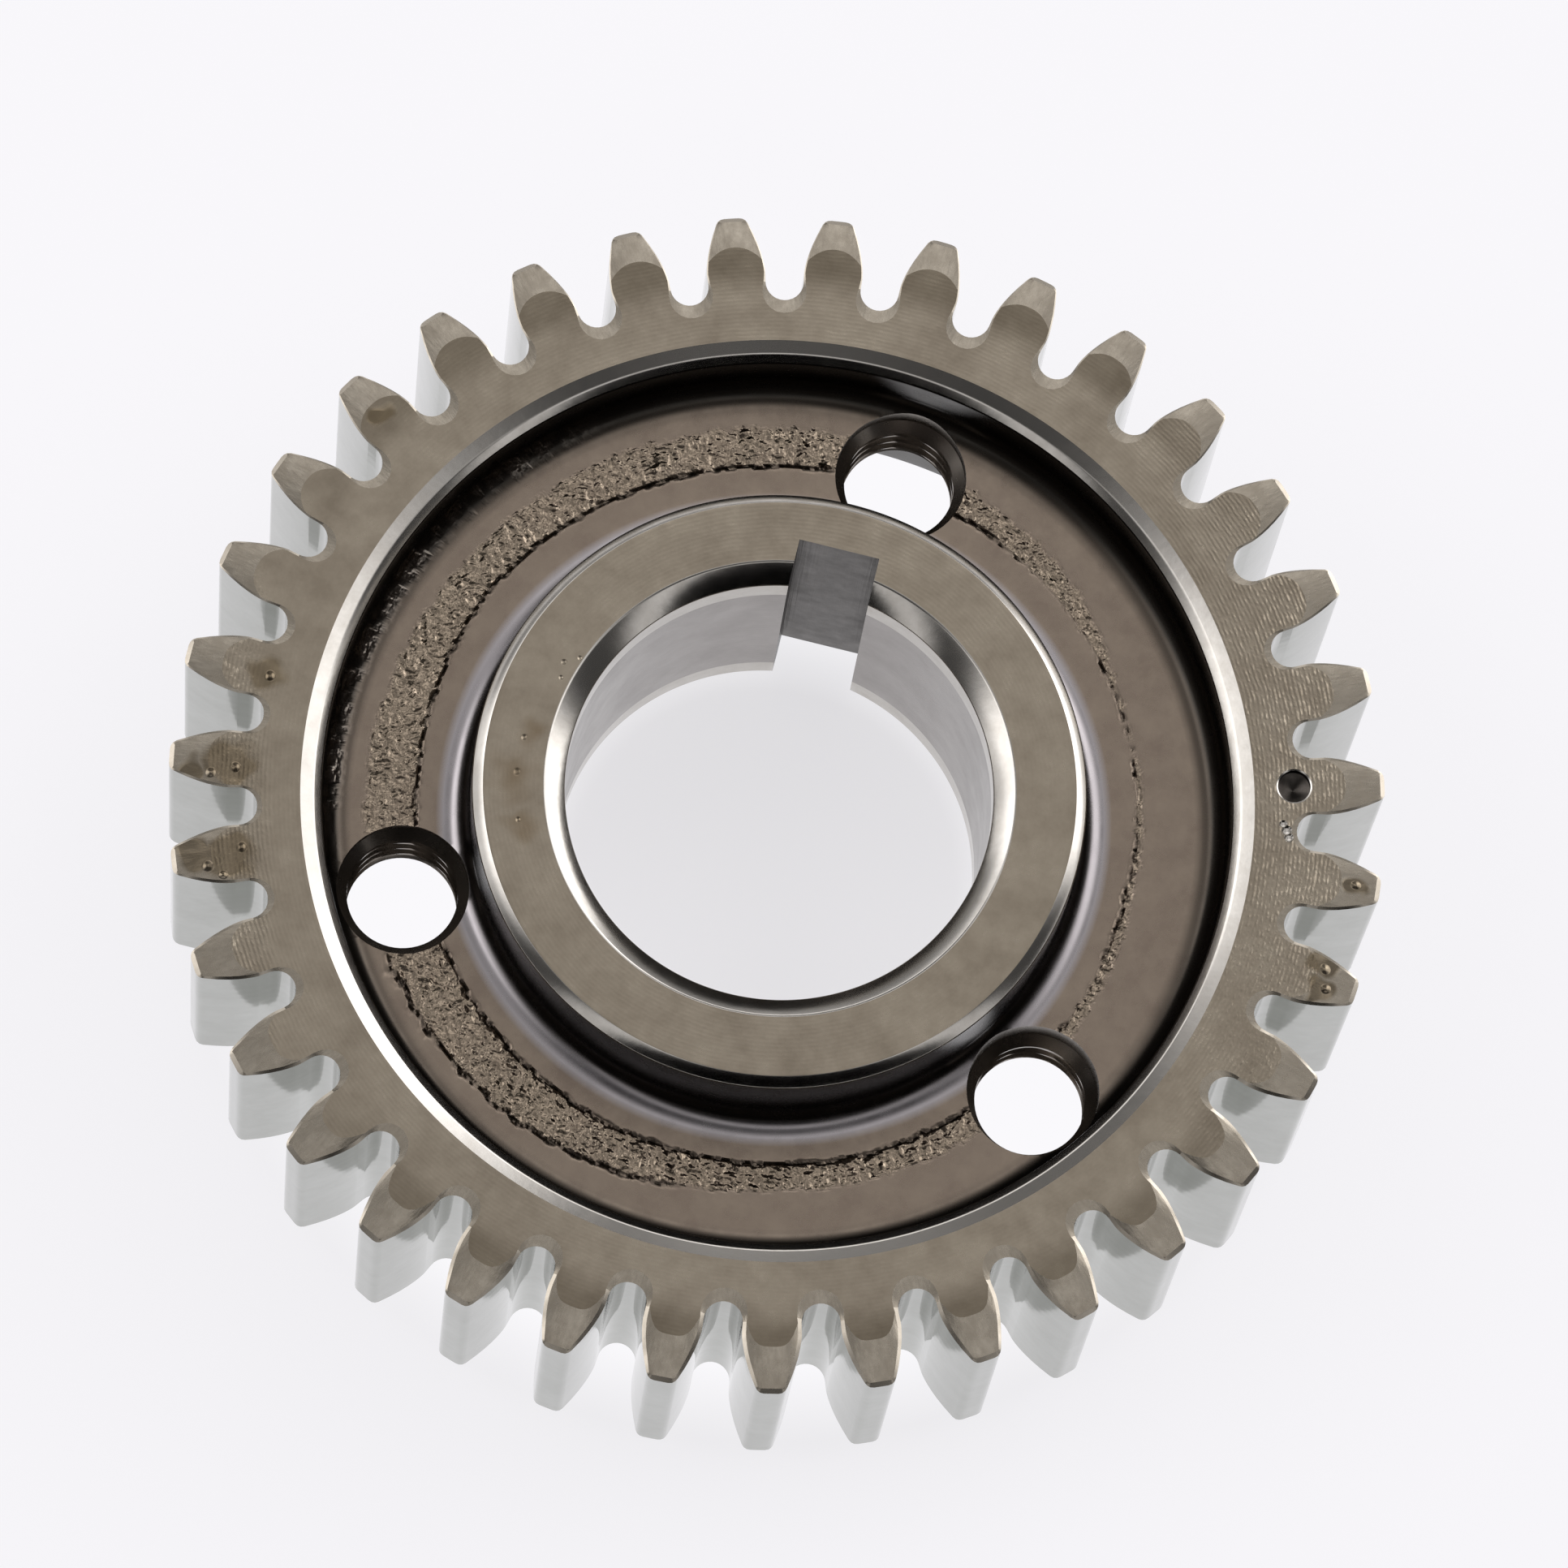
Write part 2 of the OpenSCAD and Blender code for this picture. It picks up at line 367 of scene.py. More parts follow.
def rounded(section, radius, steps=2):
    """Rounds the inner corners of a list of (r, z) points; each corner becomes steps + 1 points."""
    out = [np.array(section[0])]
    for a, b, c in zip(section[:-2], section[1:-1], section[2:]):
        a, b, c = np.array(a), np.array(b), np.array(c)
        cut = min(radius, 0.4 * np.linalg.norm(a - b), 0.4 * np.linalg.norm(c - b))
        p = b + (a - b) / np.linalg.norm(a - b) * cut
        q = b + (c - b) / np.linalg.norm(c - b) * cut
        for t in np.linspace(0, 1, steps + 1):
            out.append((1 - t) ** 2 * p + 2 * t * (1 - t) * b + t ** 2 * q)
    return out + [np.array(section[-1])]


def fillet(r, z, from_deg, to_deg, steps=6):
    return [(r + CORNER_R * math.cos(math.radians(d)), z + CORNER_R * math.sin(math.radians(d)))
            for d in np.linspace(from_deg, to_deg, steps + 1)]


def lathe(section, finish):
    add_rows([ring(r, z, COARSE) for r, z in section], finish)


def rim_mouth(face, side):
    """The shallow band and the steeper lip between a rim face and the recess wall."""
    lip_z = face - side * (RIM_CHAMFER_H + LIP_SHARE * RIM_LIP)
    return rounded([(RIM_EDGE_R, face), (RECESS_R + RIM_LIP, face - side * RIM_CHAMFER_H),
                    (RECESS_R, lip_z), (RECESS_R, face - side * MOUTH_DEPTH)], LIP_ROUND)


hub_edge_r, bore_edge_r = HUB_R - HUB_CHAMFER, BORE_R + BORE_CHAMFER
sides = ((RIM_FRONT, WEB_FRONT, HUB_LEN, 1), (RIM_BACK, WEB_BACK, 0.0, -1))
for face, web, hub_face, side in sides:
    mouth = rim_mouth(face, side)
    lathe(mouth[:5], "chamfered")
    lathe(mouth[4:], "skimmed")
    hub_wall = fillet(HUB_R + CORNER_R, web + side * CORNER_R, -90 * side, -180 * side)
    hub_top = rounded([hub_wall[-1], (HUB_R, hub_face - side * HUB_SHARE * HUB_CHAMFER),
                       (hub_edge_r, hub_face), ((hub_edge_r + bore_edge_r) / 2, hub_face),
                       (bore_edge_r, hub_face),
                       (BORE_R, hub_face - side * BORE_SHARE * BORE_CHAMFER),
                       (BORE_R, hub_face - side * BORE_MOUTH)], HUB_ROUND)
    lathe(hub_wall + hub_top[1:2], "skimmed")
    lathe(hub_top[1:6], "chamfered")
    lathe(hub_top[5:11], "turned")
    lathe(hub_top[10:], "chamfered")
    if side < 0:
        wall = fillet(RECESS_R - CORNER_R, web + side * CORNER_R, 0, -90 * side)
        lathe([(RECESS_R, face - side * MOUTH_DEPTH)] + wall + hub_wall[:1], "skimmed")
lathe([(BORE_R, z) for z in (BORE_MOUTH, 7.5, 13.5, HUB_LEN - BORE_MOUTH)], "bored")
print(f"turned section: {len(skin['faces'])} faces so far")

# %% [markdown]
# ## Forging skin in the recess
#
# The web is only skimmed, so a ring of the forging's skin is left between the cut from the hub side and
# the cut from the rim side. Its edge is ragged and a little lower than the turned web, and the skin
# itself is pitted. Bump alone looks painted on here, as the pits catch light at every angle. So the
# relief is real, and this zone has four times as many columns. The ring's two edges were read at angles
# counted in the photo.

# %% Forging skin
SKIN_AT = [0, 20, 40, 52, 80, 100, 140, 165, 200, 225, 250, 262, 298, 325, 345]
SKIN_FROM = [22.3, 22.45, 22.5, 22.55, 22.5, 22.4, 22.5, 22.0, 21.8, 21.8, 21.8, 21.8, 21.7, 21.9, 21.9]
SKIN_TO = [22.7, 22.8, 24.1, 24.2, 25.0, 25.0, 25.0, 25.1, 25.2, 24.9, 24.1, 23.6, 23.4, 22.7, 22.6]


def grain(points, size, seed, octaves=3):
    """Fractal noise at points in mm, with a first wavelength of about size mm; from about -1 to 1."""
    shift = Vector((0, 0, seed))
    return np.array([noise.fractal(Vector(p) / size + shift, 0.9, 2.1, octaves) for p in points])


def smooth(low, high, x):
    """A soft step from 0 at low to 1 at high."""
    t = np.clip((x - low) / (high - low), 0, 1)
    return t * t * (3 - 2 * t)


def skin_mask(points):
    """Shares of forging skin, of its torn edge (a real groove whose near-black colour is painted shade) and
    of scale in the corner, at points on the front web.
    """
    r = np.hypot(points[:, 0], points[:, 1])
    photo = (np.degrees(np.arctan2(points[:, 1], points[:, 0])) - PHOTO_TURN) % 360
    flat = np.column_stack([points[:, :2], np.zeros(len(points))])
    ragged = 0.16 * grain(flat, 1.1, 2.0) + 0.08 * grain(flat, 0.45, 5.0)
    inner = r - np.interp(photo, SKIN_AT + [360], SKIN_FROM + SKIN_FROM[:1]) - ragged
    outer = np.interp(photo, SKIN_AT + [360], SKIN_TO + SKIN_TO[:1]) - r - 1.6 * ragged
    mask = smooth(0, 0.12, inner) * smooth(0, 0.3, outer)
    right = 1 - smooth(45, 60, photo) * (1 - smooth(300, 320, photo))
    tear_and_shade = np.exp(-(inner / 0.085) ** 2) * smooth(-0.4, 0.2, outer)
    tear_and_shade = tear_and_shade * smooth(-0.8 + 0.6 * right, -0.2 + 0.6 * right, grain(flat, 1.2, 7.0))
    lower_left = smooth(195, 203, photo) * (1 - smooth(245, 258, photo))
    tear_and_shade = np.maximum(tear_and_shade, lower_left * np.exp(-(outer / 0.09) ** 2))
    corner = smooth(26.4, 26.8, r) * smooth(108, 125, photo) * (1 - smooth(172, 186, photo))
    corner = corner * smooth(-0.3, 0.3, grain(flat, 0.9, 13.0))
    on_web = (r > 20.5) & (r < 26.0)
    return np.where(on_web, mask, 0.0), np.where(on_web, tear_and_shade, 0.0), corner


print(f"forging skin: {min(SKIN_FROM)} to {max(SKIN_TO)} mm from the axis")

# %% [markdown]
# ## Front web
#
# The flat of the web and its outer corner are rows of points, close enough together for the relief. Each
# point is lifted along the normal of its row. A displace modifier would need a texture for that, and the
# noise is at hand as a function.

# %% Front web
SKIN_SUNK, PIT_H, TEAR_DEPTH, SCALE_H = 0.06, 0.1, 0.14, 0.03

corner_rows = fillet(RECESS_R - CORNER_R, WEB_FRONT + CORNER_R, 0, -90)
normals = np.linspace(math.pi, math.pi / 2, len(corner_rows))
web_rows = [(r, z, math.cos(a), math.sin(a)) for (r, z), a in zip(corner_rows, normals)]
flat_r = np.concatenate([[25.75], np.arange(25.4, 21.29, -0.14), [21.0]])
web_rows += [(r, WEB_FRONT, 0.0, 1.0) for r in flat_r]
rows = [ring(RECESS_R, RIM_FRONT - MOUTH_DEPTH, COARSE)]
for r, z, normal_r, normal_z in web_rows:
    row = ring(r, z, FINE)
    mask, tear_and_shade, corner = skin_mask(row)
    lift = mask * (-SKIN_SUNK + PIT_H * grain(row, 0.4, 9.0))
    lift = lift - TEAR_DEPTH * tear_and_shade + SCALE_H * corner * grain(row, 0.5, 11.0)
    rows.append(row + np.column_stack([row[:, :2] / r * normal_r, np.full(FINE, normal_z)]) * lift[:, None])
rows.append(ring(HUB_R + CORNER_R, WEB_FRONT, COARSE))
add_rows(rows, "skimmed")
print(f"front web: {len(rows)} rows of {FINE} points")

# %% [markdown]
# ## One mesh
#
# All rows are joined into one mesh, and points that lie together are welded. A check counts edges that
# don't join two faces: there must be none, or the cuts that follow would fail.

# %% Weld the skin
WELD_M = 2e-7


def mesh_object(name, points, faces, finish):
    data = bpy.data.meshes.new(name)
    data.from_pydata((np.asarray(points) * MM).tolist(), [], faces)
    data.polygons.foreach_set("material_index", finish)
    made = bpy.data.objects.new(name, data)
    bpy.context.scene.collection.objects.link(made)
    return made


finishes = [bpy.data.materials.new("steel_" + name) for name in FINISHES]
gear = mesh_object("gear", np.concatenate(skin["points"]), skin["faces"], skin["finish"])
for finish in finishes:
    gear.data.materials.append(finish)
bm = bmesh.new()
bm.from_mesh(gear.data)
bmesh.ops.remove_doubles(bm, verts=bm.verts, dist=WELD_M)
bmesh.ops.recalc_face_normals(bm, faces=bm.faces)
open_edges = sum(not edge.is_manifold for edge in bm.edges)
bm.to_mesh(gear.data)
print(f"welded: {len(bm.verts)} points, {len(bm.faces)} faces, {open_edges} edges that don't join two faces")
bm.free()

# %% [markdown]
# ## Tools that cut
#
# The keyway is broached, the puller holes are drilled and tapped M8, and the timing dot is drilled.
# Beside the dot lies a small nick. Each is cut with a solid of the tool's own shape, which leaves its
# finish on the new faces. A thread could be a picture, but as a stack of rings that turn with the height
# it catches real light.

# %% Cutters
SEGMENTS, THREAD_STEPS, THREAD_H = 60, 8, 0.55
KEY_W, KEY_FLOOR = 5.0, 15.5
HOLE_CIRCLE_R, HOLE_R, ENTRY_R, THREAD_PITCH = 23.175, 3.4, 4.05, 1.25
HOLES = {"top": (83.8, 1.1), "right": (326.3, 1.9), "left": (205.6, 0.5)}
NICKS = [(30.2, 5.85, 0.26), (30.5, 5.5, 0.34), (30.72, 5.1, 0.3)]
HALF_POINT = math.radians(59)


def round_cutter(name, x, y, rows, finish, segments=SEGMENTS):
    """A solid of stacked rings; each row is (z, radius) or (z, radius list)."""
    a = np.arange(segments) * 2 * math.pi / segments
    points, faces = [], []
    for z, r in rows:
        r = np.broadcast_to(r, a.shape)
        points.append(np.stack([x + r * np.cos(a), y + r * np.sin(a), np.full(segments, z)], 1))
    for j in range(len(rows) - 1):
        for i in range(segments):
            low, high, k = j * segments, (j + 1) * segments, (i + 1) % segments
            faces.append([low + i, low + k, high + k, high + i])
    faces.append(list(range(segments))[::-1])
    faces.append([(len(rows) - 1) * segments + i for i in range(segments)])
    return mesh_object(name, np.concatenate(points), faces, [FINISHES.index(finish)] * len(faces))


def thread_rows(low, high, turn):
    """Rows of a right-hand thread with flat crests, between two heights; its crests lie at HOLE_R."""
    a = np.arange(SEGMENTS) / SEGMENTS
    rows = []
    for z in np.arange(low, high, THREAD_PITCH / THREAD_STEPS):
        p = ((z / THREAD_PITCH) - a + turn) % 1
        rows.append((z, HOLE_R + THREAD_H * np.clip(1.25 * (1 - np.abs(2 * p - 1)) - 0.15, 0, 1)))
    return rows


cutters = []
cone = ENTRY_R - HOLE_R
for turn, (name, (angle, entry)) in enumerate(HOLES.items()):
    x, y = HOLE_CIRCLE_R * math.cos(math.radians(angle)), HOLE_CIRCLE_R * math.sin(math.radians(angle))
    rows = [(WEB_BACK - 1, ENTRY_R + 1), (WEB_BACK + cone, HOLE_R)]
    rows += thread_rows(WEB_BACK + cone + 0.1, WEB_FRONT - entry - cone - 0.05, 0.3 * turn)
    rows += [(WEB_FRONT - entry - cone, HOLE_R), (WEB_FRONT - entry, ENTRY_R), (RIM_FRONT + 1, ENTRY_R)]
    cutters.append(round_cutter("cut_hole_" + name, x, y, rows, "tapped"))
x = MARK_CIRCLE_R * math.cos(math.radians(MARK_ANGLE))
y = MARK_CIRCLE_R * math.sin(math.radians(MARK_ANGLE))
mark_floor = RIM_FRONT - MARK_DEPTH
rows = [(mark_floor - MARK_R / math.tan(HALF_POINT), 0.01), (mark_floor, MARK_R), (RIM_FRONT + 0.5, MARK_R)]
cutters.append(round_cutter("cut_mark", x, y, rows, "drilled", 48))
rows = [(RIM_FRONT - 0.3, 0.3), (RIM_FRONT - 0.07, MARK_R - 0.01), (RIM_FRONT + 0.3, MARK_R + 0.5)]
cutters.append(round_cutter("cut_mark_edge", x, y, rows, "chamfered", 48))
for number, (x, y, r) in enumerate(NICKS):
    rows = [(RIM_FRONT - 0.5 * r, 0.1 * r), (RIM_FRONT - 0.4 * r, 0.6 * r), (RIM_FRONT + 0.5 * r, 1.5 * r)]
    cutters.append(round_cutter(f"cut_nick_{number}", x, y, rows, "chamfered", 12))
box = [(sx * KEY_W / 2, y, z) for z in (-1, HUB_LEN + 1) for y in (0, KEY_FLOOR) for sx in (-1, 1)]
box_faces = [[0, 2, 3, 1], [4, 5, 7, 6], [0, 1, 5, 4], [2, 6, 7, 3], [0, 4, 6, 2], [1, 3, 7, 5]]
cutters.append(mesh_object("cut_keyway", box, box_faces, [FINISHES.index("broached")] * 6))
print("cutters:", ", ".join(cutter.name for cutter in cutters))

# %% [markdown]
# ## Cuts
#
# The cutters work as boolean modifiers, which are then applied. Steep edges and edges between two finishes
# are marked sharp, and weighted normals keep the flats flat, as a machined face has to look.

# %% Cuts
SHARP = math.radians(32)

for cutter in cutters:
    for finish in finishes:
        cutter.data.materials.append(finish)
    modifier = gear.modifiers.new(cutter.name, "BOOLEAN")
    modifier.operation, modifier.solver, modifier.object = "DIFFERENCE", "MANIFOLD", cutter
cut = bpy.data.meshes.new_from_object(gear.evaluated_get(bpy.context.evaluated_depsgraph_get()))
gear.modifiers.clear()
gear.data = cut
for cutter in cutters:
    bpy.data.objects.remove(cutter)
cut.shade_smooth()
cut.set_sharp_from_angle(angle=SHARP)
flats = gear.modifiers.new("flats_stay_flat", "WEIGHTED_NORMAL")
flats.mode, flats.weight, flats.keep_sharp = "FACE_AREA", 50, True
bm = bmesh.new()
bm.from_mesh(cut)
for edge in bm.edges:
    if len({face.material_index for face in edge.link_faces}) > 1:
        edge.smooth = False
open_edges = sum(not edge.is_manifold for edge in bm.edges)
bm.to_mesh(cut)
bm.free()
triangles = sum(len(p.vertices) - 2 for p in cut.polygons)
print(f"cut gear: {triangles} triangles, {open_edges} open edges, {len(cut.materials)} finishes")

# %% [markdown]
# ## Marks for the materials
#
# The colour of the forging skin has to follow its relief. So its share, its torn edge and the scale in
# the corner are stored at each point, and the materials read them.

# %% Marks for the materials
co = np.zeros(len(cut.vertices) * 3)
cut.vertices.foreach_get("co", co)
co = co.reshape(-1, 3) / MM
front = (co[:, 2] > WEB_FRONT - 0.4) & (co[:, 2] < WEB_FRONT + 1.7)
mask, tear_and_shade, corner = skin_mask(co[front])
for name, values in (("forged", mask), ("tear_and_shade", tear_and_shade), ("scaled", corner)):
    share = np.zeros(len(co))
    share[front] = values
    cut.attributes.new(name, "FLOAT", "POINT").data.foreach_set("value", share)
    print(f"{name}: {int((share > 0.5).sum())} points")

# %% [markdown]
# ## Steel
#
# It is one alloy steel with several finishes, and each material is named for the process that left it.
# Patterns are laid out in real millimetres from the object's own coordinates, and bump heights are
# millimetres too. Bare metal is never one even colour, so every finish starts from two close tones in
# cloudy patches.

# %% Material helpers
def linear(code):
    """A colour written as sRGB hex, in the linear values that the shaders take."""
    values = [int(code[i:i + 2], 16) / 255 for i in (1, 3, 5)]
    return [v / 12.92 if v <= 0.04045 else ((v + 0.055) / 1.055) ** 2.4 for v in values] + [1.0]


def node(tree, kind, settings=None, links=None):
    """Adds one node. Settings are its options or socket values, links the nodes or sockets that feed it."""
    made = tree.nodes.new(kind)

    def socket(name):
        if isinstance(name, int):
            return made.inputs[name]
        return next(s for s in made.inputs if s.enabled and s.name == name)

    for name, value in (settings or {}).items():
        if isinstance(name, int) or name in made.inputs.keys():
            socket(name).default_value = value
        else:
            setattr(made, name, value)
    for name, source in (links or {}).items():
        if isinstance(source, bpy.types.Node):
            source = next(s for s in source.outputs if s.enabled)
        tree.links.new(source, socket(name))
    return made


def steel(name, light, dark, patch_mm, rough):
    """Starts a steel finish of two close tones, in patches of about patch_mm; the roughness follows them."""
    material = bpy.data.materials["steel_" + name]
    material.use_nodes = True
    tree = material.node_tree
    tree.nodes.clear()
    place = node(tree, "ShaderNodeTexCoord")
    mm = node(tree, "ShaderNodeVectorMath", {"operation": "SCALE", "Scale": 1 / MM},
              {0: place.outputs["Object"]})
    flat = node(tree, "ShaderNodeVectorMath", {"operation": "MULTIPLY", 1: (1.0, 1.0, 0.0)}, {0: mm})
    radius = node(tree, "ShaderNodeVectorMath", {"operation": "LENGTH"}, {0: flat})
    cloudy = node(tree, "ShaderNodeTexNoise", {"Scale": 1 / patch_mm, "Detail": 6.0, "Roughness": 0.65},
                  {"Vector": mm})
    spread = node(tree, "ShaderNodeMapRange", {"From Min": 0.3, "From Max": 0.7}, {"Value": cloudy})
    tone = node(tree, "ShaderNodeMix", {"data_type": "RGBA", "A": linear(dark), "B": linear(light)},
                {"Factor": spread})
    dull = node(tree, "ShaderNodeMapRange", {"To Min": 1.15 * rough, "To Max": 0.85 * rough},
                {"Value": spread})
    shader = node(tree, "ShaderNodeBsdfPrincipled", {"Metallic": 1.0},
                  {"Base Color": tone, "Roughness": dull})
    node(tree, "ShaderNodeOutputMaterial", links={"Surface": shader})
    print(f"{material.name}: {light} to {dark}, roughness {rough}")
    return tree, shader, mm, radius, tone, dull


def spots(tree, mm, places, ragged_mm):
    """Round spots with a ragged edge, 1 in the middle and 0 outside; a place is (x, y, z, radius) in mm."""
    shift = node(tree, "ShaderNodeTexNoise", {"Scale": 0.7, "Detail": 0.0}, {"Vector": mm})
    shift = node(tree, "ShaderNodeVectorMath", {"operation": "MULTIPLY_ADD", 1: [ragged_mm] * 3,
                                                2: [-ragged_mm / 2] * 3}, {0: shift.outputs["Color"]})
    near = node(tree, "ShaderNodeVectorMath", {"operation": "ADD"}, {0: mm, 1: shift})
    every = None
    for x, y, z, r in places:
        gap = node(tree, "ShaderNodeVectorMath", {"operation": "DISTANCE", 1: (x, y, z)}, {0: near})
        spot = node(tree, "ShaderNodeMapRange", {"interpolation_type": "SMOOTHSTEP", "From Max": r,
                                                 "To Min": 1.0, "To Max": 0.0}, {"Value": gap})
        every = node(tree, "ShaderNodeMath", {"operation": "MAXIMUM"}, {0: every or spot, 1: spot})
    return every


# %% [markdown]
# ## Oil
#
# A few patches of old brown oil lie on the teeth at the left and right. To the eye oil is a darker,
# smoother film whose surface is gently wavy, with beads that each catch a light. A separate shell for it
# would need its own object, so here it is laid over the finish: tone, roughness and height change where
# the oil lies.

# %% Oil
OIL = [(-31.9, -0.2, RIM_FRONT, 1.7), (-32.6, -6.4, RIM_FRONT, 2.2), (-34.8, -7.1, RIM_FRONT, 1.1),
       (-31.4, -11.9, RIM_FRONT, 2.2), (-33.2, -12.3, RIM_FRONT, 1.6), (35.4, 3.1, RIM_FRONT, 1.1),
       (34.6, -2.2, RIM_FRONT, 1.1), (35.0, -3.7, RIM_FRONT, 1.1), (-29.3, 17.2, RIM_FRONT, 1.2)]
BEADS = [(-31.7, -0.3, RIM_FRONT, 0.4), (-32.4, -6.4, RIM_FRONT, 0.4), (-33.7, -7.1, RIM_FRONT, 0.35),
         (-32.4, -12.8, RIM_FRONT, 0.4), (-31.4, -13.1, RIM_FRONT, 0.35), (-30.7, -11.2, RIM_FRONT, 0.35),
         (35.4, 3.2, RIM_FRONT, 0.35), (34.7, -2.4, RIM_FRONT, 0.35), (35.0, -3.6, RIM_FRONT, 0.35)]
WAVE_H, BEAD_H = 0.12, 0.09


def oil_film(tree, shader, mm, tone, dull):
    """Lays the oil over a finish; returns the height of its surface in mm, and its share."""
    drops = spots(tree, mm, OIL, 1.5)
    film = node(tree, "ShaderNodeMapRange", {"From Min": 0.04, "From Max": 0.4, "To Max": 0.65},
                {"Value": drops})
    tone = node(tree, "ShaderNodeMix", {"data_type": "RGBA", "B": linear("#6f614a")},
                {"Factor": film, "A": tone})
    dull = node(tree, "ShaderNodeMix", {"B": 0.1}, {"Factor": film, "A": dull})
    tree.links.new(tone.outputs[2], shader.inputs["Base Color"])
    tree.links.new(dull.outputs[0], shader.inputs["Roughness"])
    waves = node(tree, "ShaderNodeTexNoise", {"Scale": 0.8, "Detail": 0.0}, {"Vector": mm})
    waves = node(tree, "ShaderNodeMath", {"operation": "MULTIPLY_ADD", 1: WAVE_H, 2: -WAVE_H / 2},
                 {0: waves})
    height = node(tree, "ShaderNodeMath", {"operation": "MULTIPLY"}, {0: waves, 1: film})
    beads = spots(tree, mm, BEADS, 0.3)
    height = node(tree, "ShaderNodeMath", {"operation": "MULTIPLY_ADD", 1: BEAD_H}, {0: beads, 2: height})
    return height, film


print(f"oil: {len(OIL)} patches and {len(BEADS)} beads")

# %% [markdown]
# ## Turned faces
#
# The rim and hub faces are turned, so a lathe tool left fine rings on them. The rings show best where the
# light comes along the surface, on the side of the timing tooth and far on the other side, so they are
# deepest there. Rings cut in the mesh would need far too many faces, so bump does it. The tooth ends at the
# top and bottom get painted shade: their colour is made a little darker. The hub face has stains, and small
# dents from handling that catch the light.

# %% Turned faces
RING_MM, DENT_DEPTH = 0.27, 0.06
TIMING_SIDE = (math.cos(math.radians(PHOTO_TURN)), math.sin(math.radians(PHOTO_TURN)), 0.0)
DENTS = [(-14.6, 4.4, HUB_LEN, 0.22), (-13.7, 4.9, HUB_LEN, 0.2), (-14.5, 3.4, HUB_LEN, 0.18),
         (-15.7, -3.0, HUB_LEN, 0.3), (-15.8, -0.8, HUB_LEN, 0.25), (-14.9, -5.9, HUB_LEN, 0.2)]
STAINS = [(-15.9, -3.2, HUB_LEN, 2.2), (-15.6, -0.4, HUB_LEN, 1.4), (-14.8, -6.2, HUB_LEN, 1.6)]

tree, shader, mm, radius, tone, dull = steel("turned", "#9e9484", "#877d6e", 2.5, 0.3)
side = node(tree, "ShaderNodeVectorMath", {"operation": "DOT_PRODUCT", 1: TIMING_SIDE}, {0: mm})
# Painted shade: tooth ends far from the line through the timing tooth, at the top and bottom, are multiplied
# darker.
off_axis = node(tree, "ShaderNodeMath", {"operation": "ABSOLUTE"}, {0: side.outputs["Value"]})
painted_shade_off_side = node(tree, "ShaderNodeMapRange", {"From Min": 22.0, "From Max": 30.0, "To Min": 1.0,
                                             "To Max": 0.0}, {"Value": off_axis})
on_tooth = node(tree, "ShaderNodeMapRange", {"interpolation_type": "SMOOTHSTEP", "From Min": ROOT_R,
                                             "From Max": 33.6}, {"Value": radius})
tooth_painted_shade = node(tree, "ShaderNodeMath", {"operation": "MULTIPLY"}, {0: painted_shade_off_side, 1: on_tooth})
tone = node(tree, "ShaderNodeMix", {"data_type": "RGBA", "blend_type": "MULTIPLY", "B": linear("#d2d0cc")},
            {"Factor": tooth_painted_shade, "A": tone})
stain = spots(tree, mm, STAINS, 2.0)
stain = node(tree, "ShaderNodeMath", {"operation": "MULTIPLY", 1: 0.6}, {0: stain})
tone = node(tree, "ShaderNodeMix", {"data_type": "RGBA", "B": linear("#75644c")},
            {"Factor": stain, "A": tone})
oil, film = oil_film(tree, shader, mm, tone, dull)

# %% [markdown]
# ## Rings and dents of the turned faces
#
# A triangle wave over the radius makes the rings. Noise lets them wander and fade as the tool chattered,
# and under the oil they fill up. The dents are spots that are pressed in.

# %% Rings and dents of the turned faces
turns = node(tree, "ShaderNodeMath", {"operation": "DIVIDE", 1: RING_MM}, {0: radius})
wander = node(tree, "ShaderNodeTexNoise", {"Scale": 0.6, "Detail": 3.0}, {"Vector": mm})
turns = node(tree, "ShaderNodeMath", {"operation": "ADD"}, {0: turns, 1: wander})
rings = node(tree, "ShaderNodeMath", {"operation": "PINGPONG", 1: 0.5}, {0: turns})
chatter = node(tree, "ShaderNodeTexNoise", {"Scale": 2.6, "Detail": 2.0}, {"Vector": mm})
chatter = node(tree, "ShaderNodeMapRange", {"From Min": 0.25, "From Max": 0.75}, {"Value": chatter})
rings = node(tree, "ShaderNodeMath", {"operation": "MULTIPLY"}, {0: rings, 1: chatter})
depth = node(tree, "ShaderNodeMapRange", {"From Min": 22.0, "From Max": 31.0, "To Min": 0.008,
                                          "To Max": 0.085}, {"Value": side})
far_depth = node(tree, "ShaderNodeMapRange", {"From Min": -30.5, "From Max": -32.5, "To Max": 0.07},
                 {"Value": side})
depth = node(tree, "ShaderNodeMath", {"operation": "ADD"}, {0: depth, 1: far_depth})
dry = node(tree, "ShaderNodeMath", {"operation": "SUBTRACT", 0: 1.0}, {1: film})
depth = node(tree, "ShaderNodeMath", {"operation": "MULTIPLY"}, {0: depth, 1: dry})
rings = node(tree, "ShaderNodeMath", {"operation": "MULTIPLY"}, {0: rings, 1: depth})
height = node(tree, "ShaderNodeMath", {"operation": "ADD"}, {0: rings, 1: oil})
dents = spots(tree, mm, DENTS, 0.3)
height = node(tree, "ShaderNodeMath", {"operation": "MULTIPLY_ADD", 1: -DENT_DEPTH}, {0: dents, 2: height})
bumped = node(tree, "ShaderNodeBump", {"Distance": MM}, {"Height": height})
tree.links.new(bumped.outputs[0], shader.inputs["Normal"])
print(f"turned faces: rings {RING_MM} mm apart, {len(DENTS)} dents, {len(tree.nodes)} nodes")

# %% [markdown]
# ## Brushed tooth ends
#
# The dressed facets were brushed outward, so their scratches run along the radius. Angle and radius
# together give a pattern that is long along the radius and a third of a millimetre wide across it. Real
# scratches are finer, but they are drawn as coarse as they need to be to show.

# %% Brushed tooth ends
SCRATCH_MM, SCRATCH_H, FACET_R = 0.3, 0.015, 34.0

